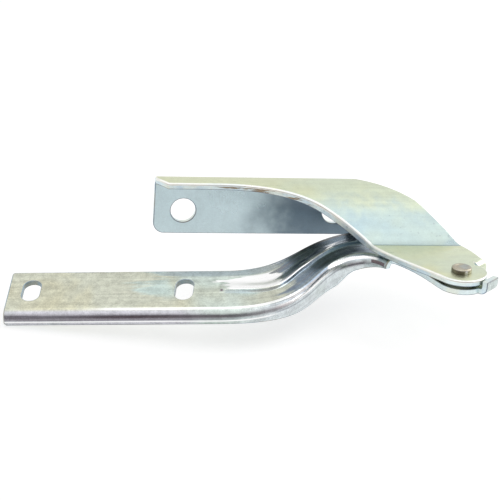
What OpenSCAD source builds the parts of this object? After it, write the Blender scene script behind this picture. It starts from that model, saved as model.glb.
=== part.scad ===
// Hood hinge: a slotted gooseneck arm that bolts to the body and a joggled bracket that bolts under the hood,
// two steel stampings joined by one shouldered rivet with a spacer washer between them.
// The origin is the middle of the hood bolts on the hood face. X runs along the hood flange, Y points out of
// the hood face and Z runs up the pivot.

/* [Sheet] */
// Thickness of both stampings
sheet_t = 3.2; // [2.4:0.1:3.8]
// Outside radius of the flange bends
bend_r = 5.5; // [4.6:0.1:7]
// Inside radius of the two folded stops
stop_bend_r = 0.8; // [0.5:0.1:1.2]

/* [Hood flange] */
// Distance between the two hood bolts
hood_pitch = 83.5; // [70:0.5:100]
// Diameter of the hood bolt holes
hood_hole_d = 13.6; // [9:0.1:15]
// From the left hole's centre to the flange's left end
hood_end_left = 16; // [12:0.5:22]
// From the right hole's centre to the flange's right end
hood_end_right = 13; // [11:0.5:16]
// From the hood bolts up to the top of the plate
hood_top = 20; // [17:0.5:26]
// From the hood bolts down to the flange's lower edge
hood_low = 13.3; // [11:0.1:20]
// Radius of the flange's lower corners
hood_corner_r = 6; // [2:0.5:9]
// From the right hole's centre to the end of the fold along the flange's top
fold_past_hole = 4.5; // [3:0.5:6]

/* [Bracket plate] */
// From the hood face to the front edge of the plate's narrow lip
lip_w = 14; // [12:0.5:20]
// Length of the narrow lip, from the left hole's centre
lip_l = 15; // [8:1:25]
// Cut across the lip's front left corner
lip_chamfer = 6; // [2:0.5:7]
// Height of the plate above the pivot tab
joggle = 20; // [12:0.5:24]
// Slope of the joggle, in degrees
joggle_slope = 35; // [30:1:45]
// Radius of the joggle's lower, hollow bend
joggle_low_r = 8; // [4:1:12]
// Radius of the joggle's upper, crowned bend
joggle_top_r = 40; // [20:1:42]
// Width of the flat strip between the fold and the crowned bend
lip_flat = 1.5; // [0.5:0.5:3]
// Radius of the bracket's round end
bracket_end_r = 13.5; // [12.5:0.1:13.6]

/* [Pivot] */
// From the middle of the hood bolts to the pivot, along the flange
pivot_x = 93.6; // [88:0.1:100]
// From the hood face to the pivot
pivot_drop = 85; // [82:0.5:90]
// Diameter of the rivet's shank
shank_d = 8; // [6:0.1:8.6]
// Diameter of the rivet's upper head
head_d = 10.6; // [10:0.1:14]
// Height of the rivet's upper head
head_h = 2.4; // [1.6:0.1:4]
// Diameter of the rivet's closed lower head
tail_d = 12; // [11:0.1:15]
// Height of the rivet's closed lower head
tail_h = 2.6; // [1.6:0.1:4]
// Thickness of the spacer washer between the two stampings
washer_t = 1.7; // [1.2:0.1:3]
// Diameter of the spacer washer
washer_d = 18; // [14:0.5:22]
// Running clearance along the pivot, above the washer and under the rivet's head
axial_gap = 0.1; // [0.05:0.01:0.3]
// Radial clearance of the bracket on the rivet's shank
shank_gap = 0.05; // [0.02:0.01:0.1]

/* [Arm] */
// Width of the arm's web where it bolts to the body, from the bend to the back edge
arm_w = 28.6; // [26:0.2:32]
// Length of the arm's straight part
arm_straight = 112; // [105:1:120]
// Depth of the arm's stiffening flange along the straight part
arm_flange = 7; // [6:0.1:9]
// Depth of the stiffening flange along the neck
neck_flange = 12.8; // [10:0.1:13.4]
// Depth of the stiffening flange at the top of the gooseneck
crest_flange = 7.6; // [6:0.1:9]
// Depth of the stiffening flange where it ends
end_flange = 5; // [4.5:0.1:6]
// Outside radius of the flange bend where it ends
end_bend_r = 4; // [3.8:0.1:5]
// Turn of the straight part from the hood flange, in degrees
arm_yaw = 13.7; // [10:0.1:16]
// Rise of the straight part towards the neck, in degrees
arm_rise = 6.7; // [4:0.1:8]
// Tilt of the web about the arm's length, in degrees
arm_tilt = 18; // [14:0.1:22]
// Radius of the arm's eye
eye_r = 12.6; // [11:0.1:13.4]
// Distance between the two slots
slot_pitch = 80; // [70:1:88]
// Width of the slots, along the arm
slot_w = 9.3; // [7:0.1:11]
// Length of the slots, across the arm
slot_l = 15.8; // [12:0.1:18]
// From the arm's left end to the first slot
slot_end = 12.2; // [10:0.1:16]
// From the bend to the middle of the slots
slot_mid = 14; // [12:0.1:15]

/* [Rib] */
// Height of the rib pressed into the neck
rib_h = 1.5; // [0.8:0.1:2]
// Width of the rib's steep front flank
rib_front = 2.2; // [1.5:0.1:3]
// Width of the rib's long back flank
rib_back = 8; // [5:0.5:9]

/* [Stops] */
// From the pivot to the inner face of the arm's stop
stop_reach = 14.1; // [13.9:0.1:15]
// Length of the arm's stop
stop_l = 11; // [8:0.5:13]
// From the line through the pivot to the stop's right end
stop_side = 8.6; // [7:0.1:9]
// Height of the arm's stop above the eye
stop_h = 4.2; // [3:0.1:5]
// From the pivot to the near end of the bracket's stop
lug_near = 15.5; // [15:0.1:17]
// Width of the bracket's stop
lug_w = 7.4; // [5:0.1:9]
// Depth of the bracket's stop below the top of the tab
lug_h = 7; // [5.5:0.1:8]

/* [Hidden] */
$fn = 64;
zinc = [0.80, 0.82, 0.75];
zinc_arm = [0.72, 0.75, 0.74];
cut = 60;

tab_z = hood_top - joggle;
plate_gap = washer_t + axial_gap;
eye_z = tab_z - sheet_t - plate_gap;
pivot = [pivot_x, -pivot_drop, 0];
lip_z = hood_top;
fold_in = stop_bend_r;
fold_out = stop_bend_r + sheet_t;
fold_steps = 6;
root = 1;

function unit(v) = v / norm(v);
function flat(v) = [v[0], v[1]];
function polar(r, a) = r * [cos(a), sin(a)];
function ease(s) = let (u = min(1, max(0, s))) u * u * (3 - 2 * u);
function mix(a, b, s) = a + (b - a) * s;
function bezier(p, s) =
    (1 - s)^3 * p[0] + 3 * s * (1 - s)^2 * p[1] + 3 * s^2 * (1 - s) * p[2] + s^3 * p[3];
function bezier_way(p, s) =
    unit((1 - s)^2 * (p[1] - p[0]) + 2 * s * (1 - s) * (p[2] - p[1]) + s^2 * (p[3] - p[2]));
function reversed(list) = [for (i = [len(list) - 1:-1:0]) list[i]];
function polar_way(a) = [cos(a), sin(a), 0];
function placed(loop, foot, side, up) = [for (q = loop) foot + q[0] * side + q[1] * up];

// A length of sheet from its sections. Each runs along one face of the sheet and back along the other, so
// that the point k steps from its start lies across the thickness from the point k steps from its end.
module sheet_body(sections) {
    n = len(sections[0]);
    last = len(sections) - 1;
    polyhedron(
        points = [for (section = sections) each section],
        faces = concat(
            [for (k = [0:n / 2 - 2]) [k, k + 1, n - 2 - k, n - 1 - k]],
            [for (k = [0:n / 2 - 2]) [n - 1 - k, n - 2 - k, k + 1, k] + last * [n, n, n, n]],
            [for (i = [0:last - 1], k = [0:n - 1])
                [i * n + k, (i + 1) * n + k, (i + 1) * n + (k + 1) % n]],
            [for (i = [0:last - 1], k = [0:n - 1])
                [i * n + k, (i + 1) * n + (k + 1) % n, i * n + (k + 1) % n]]
        )
    );
}

// Section of a tab folded square out of a plate, from a root inside the plate to the tab's end.
function fold_loop(base, height) = concat(
    [[-base, 0]],
    [for (i = [0:fold_steps]) [0, fold_in] + polar(fold_in, -90 + 90 * i / fold_steps)],
    [[fold_in, height], [fold_in + sheet_t, height]],
    [for (i = [fold_steps:-1:0]) [0, fold_in] + polar(fold_out, -90 + 90 * i / fold_steps)],
    [[-base, -sheet_t]]
);

// Bracket plate: its section across the hood flange, as points on the upper face with their normals.
lip_y = -bend_r;
top_arc_y = lip_y - lip_flat;
slope_rise = joggle - (joggle_low_r + joggle_top_r) * (1 - cos(joggle_slope));
slope_top_y = top_arc_y - joggle_top_r * sin(joggle_slope);
slope_low_y = slope_top_y - slope_rise / tan(joggle_slope);
tab_y = slope_low_y - joggle_low_r * sin(joggle_slope);
arc_steps = 7;
bend_steps = 8;
plate_front_y = -pivot_drop - 2 * bracket_end_r;

plate_section = concat(
    [[[plate_front_y, tab_z], [0, 1]]],
    [for (i = [0:arc_steps]) let (a = joggle_slope * i / arc_steps)
        [[tab_y, tab_z + joggle_low_r] + joggle_low_r * [sin(a), -cos(a)], [-sin(a), cos(a)]]],
    [for (i = [arc_steps:-1:0]) let (a = joggle_slope * i / arc_steps)
        [[top_arc_y, lip_z - joggle_top_r] + joggle_top_r * [-sin(a), cos(a)], [-sin(a), cos(a)]]],
    [for (i = [0:bend_steps]) let (a = 90 * i / bend_steps)
        [[lip_y, lip_z - bend_r] + bend_r * [sin(a), cos(a)], [sin(a), cos(a)]]]
);

// Plan of the bracket plate. The front edge leaves the lip, sweeps down the joggle and meets the round end;
// the back edge leaves the flange and runs to the stop.
flange_left_x = -hood_pitch / 2 - hood_end_left;
flange_right_x = hood_pitch / 2 + hood_end_right;
fold_end_x = hood_pitch / 2 + fold_past_hole;
lip_end = [-hood_pitch / 2 + lip_l, -lip_w];
tab_corner = [pivot_x - 41.3, tab_y + 2.4];
round_start = 215;
round_stop = 388;
round_steps = 18;
relief = 1.2;
lug_angle = 46;
lug_way = polar(1, lug_angle);
lug_turn = 6;
lug_foot = flat(pivot) + polar(lug_near, lug_angle + lug_turn);
lug_far = lug_foot + lug_w * lug_way;
back_corner = [pivot_x - 13, -pivot_drop + 60.3];
edge_steps = 14;

front_sweep = [lip_end, lip_end + [34.5, 0], tab_corner + [-22, 22], tab_corner];
round_tangent = flat(pivot) + polar(bracket_end_r, round_start);
front_tab = [
    tab_corner, tab_corner + [3.4, -13],
    round_tangent - polar(14, round_start + 90), round_tangent
];
back_sweep = [[fold_end_x, -1.2], [fold_end_x + 14, -9], back_corner - [10, -8], back_corner];
back_low = [back_corner, back_corner + [14, -15], lug_far + [-4.5, 20], lug_far];

plate_plan = concat(
    [[flange_left_x, cut / 2], [flange_left_x, -lip_w + lip_chamfer],
        [flange_left_x + lip_chamfer, -lip_w]],
    [for (i = [0:edge_steps]) bezier(front_sweep, i / edge_steps)],
    [for (i = [1:edge_steps]) bezier(front_tab, i / edge_steps)],
    [for (i = [1:round_steps])
        flat(pivot) + polar(bracket_end_r, mix(round_start, round_stop, i / round_steps))],
    [flat(pivot) + polar(bracket_end_r - relief, lug_angle - lug_turn), lug_foot, lug_far],
    [for (i = [edge_steps - 1:-1:0]) bezier(back_low, i / edge_steps)],
    [for (i = [edge_steps - 1:-1:0]) bezier(back_sweep, i / edge_steps)],
    [[fold_end_x, cut / 2]]
);

module plate_shell()
    intersection() {
        translate([flange_left_x - 1, 0, 0])
            rotate([90, 0, 90])
                linear_extrude(flange_right_x + cut - flange_left_x)
                    polygon(concat(
                        [for (q = plate_section) q[0]],
                        [for (q = reversed(plate_section)) q[0] - sheet_t * q[1]]
                    ));
        translate([0, 0, -cut / 2])
            linear_extrude(cut)
                polygon(plate_plan);
    }

// Hood flange, drawn in X and Z and given its thickness along Y.
module hood_flange() {
    top = lip_z - bend_r;
    low = -hood_low;
    r = hood_corner_r;
    ear = flange_right_x - fold_end_x;
    rotate([90, 0, 0])
        linear_extrude(sheet_t)
            polygon(concat(
                [[fold_end_x, top], [flange_left_x, top]],
                [for (a = [180:10:270]) [flange_left_x + r, low + r] + polar(r, a)],
                [for (a = [270:10:360]) [flange_right_x - r, low + r] + polar(r, a)],
                [for (a = [0:10:80]) [flange_right_x - ear, top - ear] + polar(ear, a)]
            ));
}

module bracket_lug() {
    out = polar_way(lug_angle - 90);
    foot = [lug_foot[0], lug_foot[1], tab_z - sheet_t];
    sheet_body([for (w = [lug_w, 0])
        placed(fold_loop(root, lug_h - sheet_t), foot + w * polar_way(lug_angle), out, [0, 0, -1])]);
}

module bracket()
    color(zinc)
        difference() {
            union() {
                plate_shell();
                hood_flange();
                bracket_lug();
            }
            translate([pivot_x, -pivot_drop, tab_z - sheet_t - 1])
                cylinder(d = shank_d + 2 * shank_gap, h = sheet_t + 2);
            for (side = [-1, 1])
                translate([side * hood_pitch / 2, 1, 0])
                    rotate([90, 0, 0])
                        cylinder(d = hood_hole_d, h = sheet_t + 2);
        }

// Arm: the frame of its straight part. along runs from the free end to the neck, across from the bend to
// the back edge, and up stands on the web.
along = [cos(arm_rise) * cos(arm_yaw), -cos(arm_rise) * sin(arm_yaw), sin(arm_rise)];
level = [sin(arm_yaw), cos(arm_yaw), 0];
across = cos(arm_tilt) * level + sin(arm_tilt) * cross(along, level);
neck_foot = pivot + [-125, -3.5, eye_z - 14.1];
neck_back = neck_foot + arm_w * across;
arm_end = neck_foot - arm_straight * along;

// The two edges of the neck's web, each as two curves that meet at the top of the gooseneck.
front_top = pivot + [-45.5, 43.5, eye_z - 3.4];
front_end = pivot + [-30.7, 27.5, eye_z];
back_top = pivot + [-37, 71, eye_z - 1.6];
back_end = pivot + [-12, 40, eye_z];
front_rise = [neck_foot, neck_foot + 53 * along, front_top + [-27, 0, -4.6], front_top];
back_rise = [neck_back, neck_back + 38 * along, back_top + [-38, 0, -4], back_top];
front_fall = [front_top, front_top + [6.5, 0, 1.1], front_end + [-3.8, 7, 0], front_end];
back_fall = [back_top, back_top + [13, 0, 1.3], back_end + [-9, 15, 0], back_end];

rise_steps = 22;
fall_steps = 8;
neck_steps = rise_steps + fall_steps;
corner_steps = 5;
rib_steps = 3;
end_cuts = [[0, 1.2], [0.4, 0.4], [1.2, 0], [arm_straight - 0.5, 0]];

function neck_edge(rise, fall, i) =
    i <= rise_steps ? bezier(rise, i / rise_steps) : bezier(fall, (i - rise_steps) / fall_steps);
function neck_way(rise, fall, i) =
    i <= rise_steps ? bezier_way(rise, i / rise_steps) : bezier_way(fall, (i - rise_steps) / fall_steps);

// The rib starts at once where the straight part ends, and fades before the eye.
function rib_at(i) =
    rib_h * mix(0.7, 1, ease(i / 3)) * (1 - ease((i - rise_steps - 1) / 5));
// The flange deepens along the neck, then runs out towards the eye.
function flange_at(i) = let (u = i / rise_steps)
    u > 1 ? mix(crest_flange, end_flange, (i - rise_steps) / fall_steps)
    : u > 0.8 ? mix(neck_flange, crest_flange, ease((u - 0.8) / 0.2))
    : mix(arm_flange, neck_flange, ease(u / 0.62));
function bend_at(i) = mix(bend_r, end_bend_r, ease((i - rise_steps) / fall_steps));

// Upper face of the web, from the back edge to the bend. The rib has a long back flank and a steep front one.
function web_top(w, rib) = let (crest = 0.46 * w) concat(
    [[w, 0]],
    [for (k = [0:rib_steps]) [crest + rib_back * (1 - k / rib_steps), rib * ease(k / rib_steps)]],
    [[crest - rib_front, 0]]
);

// One section of the arm's sheet: along the web, round the bend and down the flange, then back inside.
function sheet_loop(w, flange, rib, r) = concat(
    web_top(w, rib),
    [for (k = [0:corner_steps]) let (a = 90 * k / corner_steps) [-r * sin(a), r * (cos(a) - 1)]],
    [[-r, -flange], [sheet_t - r, -flange]],
    [for (k = [corner_steps:-1:0]) let (a = 90 * k / corner_steps)
        [(sheet_t - r) * sin(a), (r - sheet_t) * cos(a) - r]],
    [for (q = reversed(web_top(w, rib))) q - [0, sheet_t]]
);

function end_section(c) = placed(
    sheet_loop(arm_w, arm_flange - c[1], 0, bend_r), arm_end + c[0] * along, across, cross(along, across)
);

function neck_section(i) = let (
    front = neck_edge(front_rise, front_fall, i),
    back = neck_edge(back_rise, back_fall, i),
    side = unit(back - front),
    up = unit(cross(neck_way(front_rise, front_fall, i), side))
) placed(sheet_loop(norm(back - front), flange_at(i), rib_at(i), bend_at(i)), front, side, up);

module arm_sheet()
    sheet_body(concat([for (c = end_cuts) end_section(c)], [for (i = [0:neck_steps]) neck_section(i)]));

module on_arm()
    translate(arm_end)
        rotate([arm_tilt, -arm_rise, -arm_yaw])
            children();

module slot()
    translate([0, 0, -sheet_t - 2]) {
        for (side = [-1, 1])
            translate([0, side * (slot_l - slot_w) / 2, 0])
                cylinder(d = slot_w, h = sheet_t + 4);
        translate([-slot_w / 2, -(slot_l - slot_w) / 2, 0])
            cube([slot_w, slot_l - slot_w, sheet_t + 4]);
    }

// Eye: from the end of the neck to the round end, in plan. It laps onto the neck's middle, so that they join.
lap = 0.3;
lap_point = mix(front_end, back_end, 0.5) + lap * unit(cross([0, 0, 1], back_end - front_end));
eye_start = 205;
eye_stop = 394;
stop_angle = -45;
stop_root = stop_reach - fold_in;
eye_tangent = flat(pivot) + polar(eye_r, eye_start);
eye_front = [
    flat(front_end) + [2, 0.3], flat(front_end) + [13.3, -13],
    eye_tangent - polar(9, eye_start + 90), eye_tangent
];
eye_plan = concat(
    [flat(front_end)],
    [for (i = [0:fall_steps]) bezier(eye_front, i / fall_steps)],
    [for (i = [1:round_steps])
        flat(pivot) + polar(eye_r, mix(eye_start, eye_stop, i / round_steps))],
    [flat(back_end), flat(lap_point)]
);

// The arm's stop stands square to the line through the pivot. Its root runs in to the rivet's edge.
module arm_stop() {
    out = polar_way(stop_angle);
    foot = stop_root * out + [0, 0, eye_z];
    translate([pivot_x, -pivot_drop, 0])
        sheet_body([for (w = [stop_side - stop_l, stop_side])
            placed(fold_loop(stop_root - head_d / 2, stop_h), foot + w * polar_way(stop_angle + 90), out,
                [0, 0, 1])]);
}

module arm()
    color(zinc_arm)
        difference() {
            union() {
                arm_sheet();
                translate([0, 0, eye_z - sheet_t])
                    linear_extrude(sheet_t)
                        polygon(eye_plan);
                arm_stop();
            }
            translate([pivot_x, -pivot_drop, eye_z - sheet_t - 1])
                cylinder(d = shank_d, h = sheet_t + 2);
            for (k = [0, 1])
                on_arm()
                    translate([slot_end + k * slot_pitch, slot_mid, 0])
                        slot();
        }

// Rivet: a shouldered shank with a flat, slightly dished upper head and a domed lower head.
module rivet() {
    head_z = tab_z + axial_gap;
    tail_z = eye_z - sheet_t;
    edge = 0.4;
    color(zinc)
        translate([pivot_x, -pivot_drop, 0])
            rotate_extrude()
                polygon([
                    [0, tail_z - tail_h], [tail_d / 2 - 2, tail_z - tail_h],
                    [tail_d / 2 - 0.6, tail_z - tail_h * 0.6], [tail_d / 2, tail_z - 0.5],
                    [tail_d / 2, tail_z], [shank_d / 2, tail_z],
                    [shank_d / 2, head_z], [head_d / 2, head_z],
                    [head_d / 2, head_z + head_h - edge], [head_d / 2 - edge, head_z + head_h],
                    [head_d / 2 - 1.2, head_z + head_h], [head_d / 2 - 2, head_z + head_h - 0.15],
                    [0, head_z + head_h - 0.15]
                ]);
}

module spacer_washer()
    color(zinc)
        translate([pivot_x, -pivot_drop, eye_z])
            difference() {
                cylinder(d = washer_d, h = washer_t);
                translate([0, 0, -1])
                    cylinder(d = shank_d + 2 * shank_gap, h = washer_t + 2);
            }

arm();
bracket();
rivet();
spacer_washer();
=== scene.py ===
"""Hood hinge: two zinc-plated stampings on one rivet, dressed over the frame's solids.

Lengths are in millimetres until a mesh is made. X runs along the hood flange, Y points out of the hood face
and Z runs up the pivot, as in the frame.
"""

from math import asin, atan2, cos, pi, radians, remainder, sin, tan, tau

import bpy
from mathutils import Matrix, Vector


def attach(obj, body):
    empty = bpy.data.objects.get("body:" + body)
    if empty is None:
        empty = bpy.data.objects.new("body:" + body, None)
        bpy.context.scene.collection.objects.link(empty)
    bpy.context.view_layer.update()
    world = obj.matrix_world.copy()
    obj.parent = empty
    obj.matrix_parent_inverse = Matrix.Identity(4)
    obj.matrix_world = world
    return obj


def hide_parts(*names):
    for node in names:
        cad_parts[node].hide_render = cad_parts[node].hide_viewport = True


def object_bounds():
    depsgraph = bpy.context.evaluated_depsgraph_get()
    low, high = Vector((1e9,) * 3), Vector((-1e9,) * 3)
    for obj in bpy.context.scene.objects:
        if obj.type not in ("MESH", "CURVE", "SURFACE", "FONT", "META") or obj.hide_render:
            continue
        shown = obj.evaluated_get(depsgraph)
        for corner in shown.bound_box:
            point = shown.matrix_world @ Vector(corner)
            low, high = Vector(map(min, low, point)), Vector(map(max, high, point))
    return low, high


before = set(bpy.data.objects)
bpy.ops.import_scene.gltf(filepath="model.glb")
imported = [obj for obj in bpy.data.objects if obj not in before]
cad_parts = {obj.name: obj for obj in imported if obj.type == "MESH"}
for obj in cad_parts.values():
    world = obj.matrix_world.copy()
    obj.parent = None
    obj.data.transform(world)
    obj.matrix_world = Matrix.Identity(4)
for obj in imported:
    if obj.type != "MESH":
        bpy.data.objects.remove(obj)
solid_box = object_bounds()

MM = 0.001

# The two stampings
sheet_t = 3.2
bend_r = 5.5
stop_bend_r = 0.8
burr = 0.45

# Hood flange and bracket plate
hood_pitch = 83.5
hood_hole_d = 13.6
hood_end_left = 16.0
hood_end_right = 13.0
hood_top = 20.0
hood_low = 13.3
hood_corner_r = 6.0
fold_past_hole = 4.5
lip_w = 14.0
lip_l = 15.0
lip_chamfer = 6.0
lip_flat = 1.5
joggle = 20.0
joggle_slope = radians(35.0)
joggle_low_r = 8.0
joggle_top_r = 40.0
bracket_end_r = 13.5
plate_roll = 1.1
back_roll = 0.35
notch_roll = 0.15
bore_roll = 0.2

# Pivot
pivot_x = 93.6
pivot_drop = 85.0
shank_d = 8.0
head_d = 10.6
head_h = 2.4
tail_d = 12.0
tail_h = 2.6
washer_t = 1.7
axial_gap = 0.1
shank_gap = 0.05

# Arm
arm_w = 28.6
arm_straight = 112.0
arm_flange = 7.0
neck_flange = 12.8
crest_flange = 7.6
end_flange = 5.0
end_bend_r = 4.0
end_cut = 1.2
arm_yaw = radians(13.7)
arm_rise = radians(6.7)
arm_tilt = radians(18.0)
arm_roll = 0.6
slot_roll = 0.35
end_corner_r = 1.6
soft_bend = 0.8
eye_r = 12.6
eye_roll = 0.35
slot_pitch = 80.0
slot_w = 9.3
slot_l = 15.8
slot_end = 12.2
slot_mid = 14.0
rib_h = 1.5
rib_front = 2.2
rib_back = 8.0
rib_run_in = 2.6

# Stops
stop_reach = 14.1
stop_l = 11.0
stop_side = 8.6
stop_h = 4.2
stop_angle = radians(-45.0)
lug_near = 15.5
lug_w = 7.4
lug_h = 7.0
lug_angle = radians(46.0)
lug_turn = radians(6.0)

tab_z = hood_top - joggle
eye_z = tab_z - sheet_t - washer_t - axial_gap
pivot = Vector((pivot_x, -pivot_drop, 0.0))
up = Vector((0.0, 0.0, 1.0))


def polar(r, a):
    return Vector((r * cos(a), r * sin(a), 0.0))


def xy(x, y):
    return Vector((x, y, 0.0))


def mix(a, b, s):
    return a + (b - a) * s


def ease(s):
    u = min(1.0, max(0.0, s))
    return u * u * (3.0 - 2.0 * u)


def bezier(p, s):
    r = 1.0 - s
    return r**3 * p[0] + 3 * s * r**2 * p[1] + 3 * s**2 * r * p[2] + s**3 * p[3]


def bezier_way(p, s):
    r = 1.0 - s
    return (r**2 * (p[1] - p[0]) + 2 * s * r * (p[2] - p[1]) + s**2 * (p[3] - p[2])).normalized()


def spread(a, b, n):
    """n + 1 even steps from a to b."""
    return [mix(a, b, i / n) for i in range(n + 1)]


def arc(centre, r, start, stop, n):
    """n + 1 points on an arc about a centre, seen from above."""
    return [centre + polar(r, a) for a in spread(start, stop, n)]


def edges_of(face):
    return list(zip(face, face[1:] + face[:1]))


def linked(name, data):
    """An object in the scene that holds this data."""
    piece = bpy.data.objects.new(name, data)
    bpy.context.scene.collection.objects.link(piece)
    return piece


def smooth_mesh(name, places, faces):
    """A mesh from places in millimetres."""
    mesh = bpy.data.meshes.new(name)
    mesh.from_pydata([p * MM for p in places], [], faces)
    mesh.polygons.foreach_set("use_smooth", [True] * len(faces))
    return mesh


FACES, ROLL, CUT, CORNER, HOLE = range(5)


class Sheet:
    """A sheet of even thickness, given by its upper face: points, their normals and the faces between them.

    made() gives it a lower face and rims, each with a rolled upper edge and a small lower one.
    """

    roll_steps = 4
    burr_steps = 2
    corner_limit = cos(radians(50.0))
    least_mitre = 0.6

    def __init__(self):
        self.points = []
        self.normals = []
        self.rolls = []
        self.grains = []
        self.through = []
        self.faces = []
        self.known = {}

    def point(self, place, normal, roll, grain=None, through=None):
        """The number of the point at this place, which neighbouring patches share.

        through runs from the upper face to the lower one, square to the sheet unless it is given.
        """
        key = tuple(round(c * 200.0) for c in place)
        if key not in self.known:
            self.known[key] = len(self.points)
            self.points.append(Vector(place))
            self.normals.append(Vector(normal).normalized())
            self.rolls.append(roll)
            self.grains.append(grain or (place[0], place[1]))
            self.through.append(through or -sheet_t * self.normals[-1])
        return self.known[key]

    def patch(self, rows):
        """Quads between rows of point numbers. Where two corners are one point, a triangle."""
        for low, high in zip(rows, rows[1:]):
            for k in range(len(low) - 1):
                face = [low[k], low[k + 1], high[k + 1], high[k]]
                face = [v for i, v in enumerate(face) if v not in face[:i]]
                if len(face) > 2:
                    self.faces.append(face)

    def plate(self, outline, holes, flat):
        """A flat stretch inside an outline, with holes. Each hole is (centre, ring) and flat maps to 2D."""
        parts = [outline]
        for centre, ring in holes:
            c = flat(centre)
            for part in parts:
                if inside(c, [flat(self.points[v]) for v in part]):
                    parts.remove(part)
                    parts.extend(self.parted(part, ring, c, flat))
                    break
        self.faces.extend(parts)

    def parted(self, part, ring, c, flat):
        """An outline cut in two through a hole, along the line across it."""
        def nearest(loop, angle):
            def off(v):
                q = flat(self.points[v])
                turn = atan2(q[1] - c[1], q[0] - c[0]) - angle
                return abs(remainder(turn, tau))
            return min(range(len(loop)), key=lambda i: off(loop[i]))
        first, second = [(nearest(part, a), nearest(ring, a)) for a in (pi / 2, -pi / 2)]
        n, m = len(part), len(ring)
        halves = []
        for (start, ring_start), (stop, ring_stop) in ((first, second), (second, first)):
            outer = [part[(start + i) % n] for i in range((stop - start) % n + 1)]
            inner = [ring[(ring_stop - i) % m] for i in range((ring_stop - ring_start) % m + 1)]
            halves.append(outer + inner)
        return halves

    def rims(self):
        """Each open edge loop of the upper face, with the face on its left."""
        used = {e for face in self.faces for e in edges_of(face)}
        after = {a: b for a, b in used if (b, a) not in used}
        loops = []
        while after:
            v = min(after)
            loop = []
            while v in after:
                loop.append(v)
                v = after.pop(v)
            loops.append(loop)
        return loops

    def outward(self, loop):
        """The way out of the sheet at each edge of a rim."""
        found = []
        for a, b in edges_of(loop):
            through = self.through[a] + self.through[b]
            found.append((self.points[b] - self.points[a]).cross(-through).normalized())
        return found

    def column(self, v, mitre):
        """The rim's points at v from the top down, with the side's and the top's share of each normal."""
        p, n, roll, through = self.points[v], self.normals[v], self.rolls[v], self.through[v]
        down = through.normalized()
        inward = -mitre + down * (mitre.dot(n) / down.dot(n))
        found = []
        for s in spread(0.0, 1.0, self.roll_steps):
            found.append((p + (1 - s) ** 2 * roll * inward + s**2 * roll * down, s, 1 - s))
        for s in spread(0.0, 1.0, self.burr_steps):
            found.append((p + through + s**2 * burr * inward - (1 - s) ** 2 * burr * down, 1 - s, -s))
        return found

    def rim_columns(self):
        """A column for each point of the rims, and each rim edge with its way out and its wall's finish."""
        columns, edges = {}, []
        loops = self.rims()
        outer = max(loops, key=len)
        for loop in loops:
            outward = self.outward(loop)
            for i, v in enumerate(loop):
                before, here = outward[i - 1], outward[i]
                middle = (before + here).normalized()
                mitre = middle / max(middle.dot(here), self.least_mitre)
                columns[v] = (self.column(v, mitre), middle, before.dot(here) > self.corner_limit)
            wall = CUT if loop is outer else HOLE
            edges += [(a, b, out, wall) for (a, b), out in zip(edges_of(loop), outward)]
        return columns, edges

    def made(self, name, *finishes):
        """A closed piece. Its finishes: faces, rolled edge, cut edge, its lower corner, walls of holes."""
        columns, edges = self.rim_columns()
        lower = len(self.points)
        places = self.points + [p + d for p, d in zip(self.points, self.through)]
        origin = list(range(lower)) * 2
        numbers = {}
        for v, (column, _, _) in columns.items():
            places[v], places[lower + v] = column[0][0], column[-1][0]
            numbers[v] = [v, *range(len(places), len(places) + len(column) - 2), lower + v]
            places += [at for at, _, _ in column[1:-1]]
            origin += [v] * (len(column) - 2)
        faces, shades, slots = [], [], []
        for face in self.faces:
            back = face[::-1]
            faces += [face, [lower + v for v in back]]
            shades += [self.normals[v] for v in face] + [-self.normals[v] for v in back]
            slots += [FACES, FACES]
        for a, b, out, wall in edges:
            for j, slot in enumerate([ROLL] * self.roll_steps + [wall] + [CORNER] * self.burr_steps):
                corners = ((b, j), (a, j), (a, j + 1), (b, j + 1))
                faces.append([numbers[v][k] for v, k in corners])
                slots.append(slot)
                for v, k in corners:
                    column, middle, smooth = columns[v]
                    _, side, top = column[k]
                    shades.append((side * (middle if smooth else out) + top * self.normals[v]).normalized())
        mesh = smooth_mesh(name, places, faces)
        for finish in finishes:
            mesh.materials.append(finish)
        mesh.polygons.foreach_set("material_index", slots)
        grain = mesh.uv_layers.new(name="grain")
        places = [self.grains[origin[v]] for face in faces for v in face]
        grain.data.foreach_set("uv", [c * MM for place in places for c in place])
        mesh.normals_split_custom_set(shades)
        return linked(name, mesh)


def inside(c, outline):
    """True if the 2D point lies inside the outline."""
    hits = 0
    for (ax, ay), (bx, by) in edges_of(outline):
        if (ay > c[1]) != (by > c[1]) and c[0] < ax + (c[1] - ay) * (bx - ax) / (by - ay):
            hits += 1
    return hits % 2 == 1


# Bracket plate: height and lean of its upper face, which depend only on Y.
lip_y = -bend_r
top_arc_y = lip_y - lip_flat
slope_rise = joggle - (joggle_low_r + joggle_top_r) * (1 - cos(joggle_slope))
slope_top_y = top_arc_y - joggle_top_r * sin(joggle_slope)
slope_low_y = slope_top_y - slope_rise / tan(joggle_slope)
tab_y = slope_low_y - joggle_low_r * sin(joggle_slope)


def plate_lean(y):
    """The lean of the plate's upper face at y: above 0 where it climbs towards the hood."""
    if y > lip_y:
        return -asin(min(1.0, (y - lip_y) / bend_r))
    if y > top_arc_y:
        return 0.0
    if y > slope_top_y:
        return asin((top_arc_y - y) / joggle_top_r)
    if y > slope_low_y:
        return joggle_slope
    return asin(min(1.0, max(0.0, (y - tab_y) / joggle_low_r)))


def plate_height(y):
    lean = plate_lean(y)
    if y > lip_y:
        return hood_top - bend_r * (1 - cos(lean))
    if y > slope_top_y:
        return hood_top - joggle_top_r * (1 - cos(lean))
    if y > slope_low_y:
        return tab_z + joggle_low_r * (1 - cos(lean)) + (y - slope_low_y) * tan(lean)
    return tab_z + joggle_low_r * (1 - cos(lean))


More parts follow.
